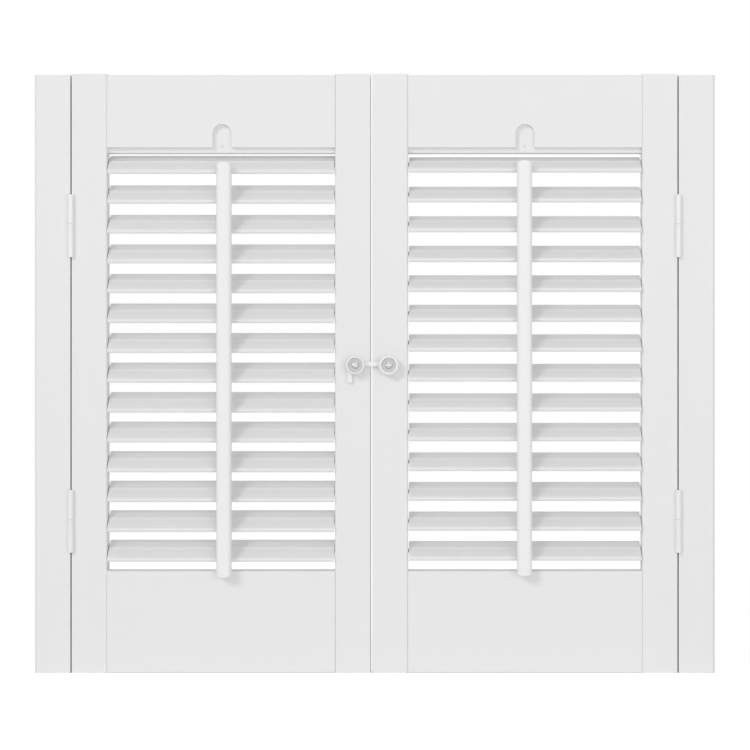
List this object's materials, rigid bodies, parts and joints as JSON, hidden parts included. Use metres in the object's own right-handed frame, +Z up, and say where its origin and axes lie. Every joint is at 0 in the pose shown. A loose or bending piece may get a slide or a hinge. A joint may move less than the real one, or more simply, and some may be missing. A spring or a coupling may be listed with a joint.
{
  "type": "louvred window shutters",
  "caption": "White painted wooden shutters with movable louvres, hung on strips with lift-off hinges, with tilt rods, turned knobs and a latch.",
  "frame": {"origin": "bottom centre of the closed shutters' bounding box", "axes": "+X to the right seen from the room, +Y into the window, +Z up; the tilt rods and knobs face -Y"},
  "size_m": [0.5768, 0.0428, 0.508],
  "materials": {
    "painted_boards": "white satin paint, lightly brushed",
    "painted_louvres": "white satin paint",
    "painted_rods": "white satin paint",
    "painted_hinges": "white satin paint over steel",
    "knobs": "white satin enamel",
    "latch": "white satin paint over steel",
    "steel": "zinc plated, satin"
  },
  "bodies": {
    "frame": {"left_strip": "painted_boards", "left_strip_hinge_leaves": "painted_hinges", "left_strip_hinge_screws": "steel", "left_hinge_pins": "steel", "left_hinge_washers": "painted_hinges", "right_strip": "painted_boards", "right_strip_hinge_leaves": "painted_hinges", "right_strip_hinge_screws": "steel", "right_hinge_pins": "steel", "right_hinge_washers": "painted_hinges"},
    "left_panel": {"left_hinge_stile": "painted_boards", "left_meeting_stile": "painted_boards", "left_top_rail": "painted_boards", "left_bottom_rail": "painted_boards", "left_panel_hinge_leaves": "painted_hinges", "left_panel_hinge_screws": "steel", "left_knob": "knobs", "left_knob_screw": "steel"},
    "left_louvre_07": {"left_louvre_07": "painted_louvres"},
    "left_louvre_01": {"left_louvre_01": "painted_louvres"},
    "left_louvre_02": {"left_louvre_02": "painted_louvres"},
    "left_louvre_03": {"left_louvre_03": "painted_louvres"},
    "left_louvre_04": {"left_louvre_04": "painted_louvres"},
    "left_louvre_05": {"left_louvre_05": "painted_louvres"},
    "left_louvre_06": {"left_louvre_06": "painted_louvres"},
    "left_louvre_08": {"left_louvre_08": "painted_louvres"},
    "left_louvre_09": {"left_louvre_09": "painted_louvres"},
    "left_louvre_10": {"left_louvre_10": "painted_louvres"},
    "left_louvre_11": {"left_louvre_11": "painted_louvres"},
    "left_louvre_12": {"left_louvre_12": "painted_louvres"},
    "left_louvre_13": {"left_louvre_13": "painted_louvres"},
    "left_louvre_14": {"left_louvre_14": "painted_louvres"},
    "left_rod": {"left_tilt_rod": "painted_rods", "left_rod_staples": "steel"},
    "right_panel": {"right_hinge_stile": "painted_boards", "right_meeting_stile": "painted_boards", "right_top_rail": "painted_boards", "right_bottom_rail": "painted_boards", "right_panel_hinge_leaves": "painted_hinges", "right_panel_hinge_screws": "steel", "right_knob": "knobs", "right_knob_screw": "steel"},
    "right_louvre_07": {"right_louvre_07": "painted_louvres"},
    "right_louvre_01": {"right_louvre_01": "painted_louvres"},
    "right_louvre_02": {"right_louvre_02": "painted_louvres"},
    "right_louvre_03": {"right_louvre_03": "painted_louvres"},
    "right_louvre_04": {"right_louvre_04": "painted_louvres"},
    "right_louvre_05": {"right_louvre_05": "painted_louvres"},
    "right_louvre_06": {"right_louvre_06": "painted_louvres"},
    "right_louvre_08": {"right_louvre_08": "painted_louvres"},
    "right_louvre_09": {"right_louvre_09": "painted_louvres"},
    "right_louvre_10": {"right_louvre_10": "painted_louvres"},
    "right_louvre_11": {"right_louvre_11": "painted_louvres"},
    "right_louvre_12": {"right_louvre_12": "painted_louvres"},
    "right_louvre_13": {"right_louvre_13": "painted_louvres"},
    "right_louvre_14": {"right_louvre_14": "painted_louvres"},
    "right_rod": {"right_tilt_rod": "painted_rods", "right_rod_staples": "steel"},
    "latch": {"latch": "latch"}
  },
  "joints": [
    {"name": "left_panel_swing", "type": "hinge", "parent": "frame", "child": "left_panel", "pos_m": [-0.2575, -0.0053, 0.254], "axis": [0, 0, -1], "range_deg": [0, 170]},
    {"name": "left_louvre_07_tilt", "type": "hinge", "parent": "left_panel", "child": "left_louvre_07", "pos_m": [-0.1303, 0.0071, 0.28029], "axis": [-1, 0, 0], "range_deg": [0, 85]},
    {"name": "left_louvre_01_tilt", "type": "hinge", "parent": "left_panel", "child": "left_louvre_01", "pos_m": [-0.1303, 0.0071, 0.4319], "axis": [-1, 0, 0], "range_deg": [0, 85]},
    {"name": "left_louvre_02_tilt", "type": "hinge", "parent": "left_panel", "child": "left_louvre_02", "pos_m": [-0.1303, 0.0071, 0.40663], "axis": [-1, 0, 0], "range_deg": [0, 85]},
    {"name": "left_louvre_03_tilt", "type": "hinge", "parent": "left_panel", "child": "left_louvre_03", "pos_m": [-0.1303, 0.0071, 0.38136], "axis": [-1, 0, 0], "range_deg": [0, 85]},
    {"name": "left_louvre_04_tilt", "type": "hinge", "parent": "left_panel", "child": "left_louvre_04", "pos_m": [-0.1303, 0.0071, 0.35609], "axis": [-1, 0, 0], "range_deg": [0, 85]},
    {"name": "left_louvre_05_tilt", "type": "hinge", "parent": "left_panel", "child": "left_louvre_05", "pos_m": [-0.1303, 0.0071, 0.33082], "axis": [-1, 0, 0], "range_deg": [0, 85]},
    {"name": "left_louvre_06_tilt", "type": "hinge", "parent": "left_panel", "child": "left_louvre_06", "pos_m": [-0.1303, 0.0071, 0.30555], "axis": [-1, 0, 0], "range_deg": [0, 85]},
    {"name": "left_louvre_08_tilt", "type": "hinge", "parent": "left_panel", "child": "left_louvre_08", "pos_m": [-0.1303, 0.0071, 0.25501], "axis": [-1, 0, 0], "range_deg": [0, 85]},
    {"name": "left_louvre_09_tilt", "type": "hinge", "parent": "left_panel", "child": "left_louvre_09", "pos_m": [-0.1303, 0.0071, 0.22975], "axis": [-1, 0, 0], "range_deg": [0, 85]},
    {"name": "left_louvre_10_tilt", "type": "hinge", "parent": "left_panel", "child": "left_louvre_10", "pos_m": [-0.1303, 0.0071, 0.20448], "axis": [-1, 0, 0], "range_deg": [0, 85]},
    {"name": "left_louvre_11_tilt", "type": "hinge", "parent": "left_panel", "child": "left_louvre_11", "pos_m": [-0.1303, 0.0071, 0.17921], "axis": [-1, 0, 0], "range_deg": [0, 85]},
    {"name": "left_louvre_12_tilt", "type": "hinge", "parent": "left_panel", "child": "left_louvre_12", "pos_m": [-0.1303, 0.0071, 0.15394], "axis": [-1, 0, 0], "range_deg": [0, 85]},
    {"name": "left_louvre_13_tilt", "type": "hinge", "parent": "left_panel", "child": "left_louvre_13", "pos_m": [-0.1303, 0.0071, 0.12867], "axis": [-1, 0, 0], "range_deg": [0, 85]},
    {"name": "left_louvre_14_tilt", "type": "hinge", "parent": "left_panel", "child": "left_louvre_14", "pos_m": [-0.1303, 0.0071, 0.1034], "axis": [-1, 0, 0], "range_deg": [0, 85]},
    {"name": "left_rod_link", "type": "hinge", "parent": "left_louvre_07", "child": "left_rod", "pos_m": [-0.1268, -0.00987, 0.27048], "axis": [-1, 0, 0], "range_deg": [-85, 0]},
    {"name": "right_panel_swing", "type": "hinge", "parent": "frame", "child": "right_panel", "pos_m": [0.2572, -0.0053, 0.254], "axis": [0, 0, 1], "range_deg": [0, 170]},
    {"name": "right_louvre_07_tilt", "type": "hinge", "parent": "right_panel", "child": "right_louvre_07", "pos_m": [0.1274, 0.0071, 0.28029], "axis": [-1, 0, 0], "range_deg": [-5, 80]},
    {"name": "right_louvre_01_tilt", "type": "hinge", "parent": "right_panel", "child": "right_louvre_01", "pos_m": [0.1274, 0.0071, 0.4319], "axis": [-1, 0, 0], "range_deg": [-5, 80]},
    {"name": "right_louvre_02_tilt", "type": "hinge", "parent": "right_panel", "child": "right_louvre_02", "pos_m": [0.1274, 0.0071, 0.40663], "axis": [-1, 0, 0], "range_deg": [-5, 80]},
    {"name": "right_louvre_03_tilt", "type": "hinge", "parent": "right_panel", "child": "right_louvre_03", "pos_m": [0.1274, 0.0071, 0.38136], "axis": [-1, 0, 0], "range_deg": [-5, 80]},
    {"name": "right_louvre_04_tilt", "type": "hinge", "parent": "right_panel", "child": "right_louvre_04", "pos_m": [0.1274, 0.0071, 0.35609], "axis": [-1, 0, 0], "range_deg": [-5, 80]},
    {"name": "right_louvre_05_tilt", "type": "hinge", "parent": "right_panel", "child": "right_louvre_05", "pos_m": [0.1274, 0.0071, 0.33082], "axis": [-1, 0, 0], "range_deg": [-5, 80]},
    {"name": "right_louvre_06_tilt", "type": "hinge", "parent": "right_panel", "child": "right_louvre_06", "pos_m": [0.1274, 0.0071, 0.30555], "axis": [-1, 0, 0], "range_deg": [-5, 80]},
    {"name": "right_louvre_08_tilt", "type": "hinge", "parent": "right_panel", "child": "right_louvre_08", "pos_m": [0.1274, 0.0071, 0.25501], "axis": [-1, 0, 0], "range_deg": [-5, 80]},
    {"name": "right_louvre_09_tilt", "type": "hinge", "parent": "right_panel", "child": "right_louvre_09", "pos_m": [0.1274, 0.0071, 0.22975], "axis": [-1, 0, 0], "range_deg": [-5, 80]},
    {"name": "right_louvre_10_tilt", "type": "hinge", "parent": "right_panel", "child": "right_louvre_10", "pos_m": [0.1274, 0.0071, 0.20448], "axis": [-1, 0, 0], "range_deg": [-5, 80]},
    {"name": "right_louvre_11_tilt", "type": "hinge", "parent": "right_panel", "child": "right_louvre_11", "pos_m": [0.1274, 0.0071, 0.17921], "axis": [-1, 0, 0], "range_deg": [-5, 80]},
    {"name": "right_louvre_12_tilt", "type": "hinge", "parent": "right_panel", "child": "right_louvre_12", "pos_m": [0.1274, 0.0071, 0.15394], "axis": [-1, 0, 0], "range_deg": [-5, 80]},
    {"name": "right_louvre_13_tilt", "type": "hinge", "parent": "right_panel", "child": "right_louvre_13", "pos_m": [0.1274, 0.0071, 0.12867], "axis": [-1, 0, 0], "range_deg": [-5, 80]},
    {"name": "right_louvre_14_tilt", "type": "hinge", "parent": "right_panel", "child": "right_louvre_14", "pos_m": [0.1274, 0.0071, 0.1034], "axis": [-1, 0, 0], "range_deg": [-5, 80]},
    {"name": "right_rod_link", "type": "hinge", "parent": "right_louvre_07", "child": "right_rod", "pos_m": [0.1265, -0.01066, 0.272], "axis": [-1, 0, 0], "range_deg": [-80, 5]},
    {"name": "latch_turn", "type": "hinge", "parent": "left_panel", "child": "latch", "pos_m": [-0.0163, -0.00595, 0.2612], "axis": [0, -1, 0], "range_deg": [0, 90]}
  ],
  "couplings": [
    {"joint": "left_louvre_01_tilt", "follows": "left_louvre_07_tilt", "ratio": 1},
    {"joint": "left_louvre_02_tilt", "follows": "left_louvre_07_tilt", "ratio": 1},
    {"joint": "left_louvre_03_tilt", "follows": "left_louvre_07_tilt", "ratio": 1},
    {"joint": "left_louvre_04_tilt", "follows": "left_louvre_07_tilt", "ratio": 1},
    {"joint": "left_louvre_05_tilt", "follows": "left_louvre_07_tilt", "ratio": 1},
    {"joint": "left_louvre_06_tilt", "follows": "left_louvre_07_tilt", "ratio": 1},
    {"joint": "left_louvre_08_tilt", "follows": "left_louvre_07_tilt", "ratio": 1},
    {"joint": "left_louvre_09_tilt", "follows": "left_louvre_07_tilt", "ratio": 1},
    {"joint": "left_louvre_10_tilt", "follows": "left_louvre_07_tilt", "ratio": 1},
    {"joint": "left_louvre_11_tilt", "follows": "left_louvre_07_tilt", "ratio": 1},
    {"joint": "left_louvre_12_tilt", "follows": "left_louvre_07_tilt", "ratio": 1},
    {"joint": "left_louvre_13_tilt", "follows": "left_louvre_07_tilt", "ratio": 1},
    {"joint": "left_louvre_14_tilt", "follows": "left_louvre_07_tilt", "ratio": 1},
    {"joint": "left_rod_link", "follows": "left_louvre_07_tilt", "ratio": -1},
    {"joint": "right_louvre_01_tilt", "follows": "right_louvre_07_tilt", "ratio": 1},
    {"joint": "right_louvre_02_tilt", "follows": "right_louvre_07_tilt", "ratio": 1},
    {"joint": "right_louvre_03_tilt", "follows": "right_louvre_07_tilt", "ratio": 1},
    {"joint": "right_louvre_04_tilt", "follows": "right_louvre_07_tilt", "ratio": 1},
    {"joint": "right_louvre_05_tilt", "follows": "right_louvre_07_tilt", "ratio": 1},
    {"joint": "right_louvre_06_tilt", "follows": "right_louvre_07_tilt", "ratio": 1},
    {"joint": "right_louvre_08_tilt", "follows": "right_louvre_07_tilt", "ratio": 1},
    {"joint": "right_louvre_09_tilt", "follows": "right_louvre_07_tilt", "ratio": 1},
    {"joint": "right_louvre_10_tilt", "follows": "right_louvre_07_tilt", "ratio": 1},
    {"joint": "right_louvre_11_tilt", "follows": "right_louvre_07_tilt", "ratio": 1},
    {"joint": "right_louvre_12_tilt", "follows": "right_louvre_07_tilt", "ratio": 1},
    {"joint": "right_louvre_13_tilt", "follows": "right_louvre_07_tilt", "ratio": 1},
    {"joint": "right_louvre_14_tilt", "follows": "right_louvre_07_tilt", "ratio": 1},
    {"joint": "right_rod_link", "follows": "right_louvre_07_tilt", "ratio": -1}
  ]
}
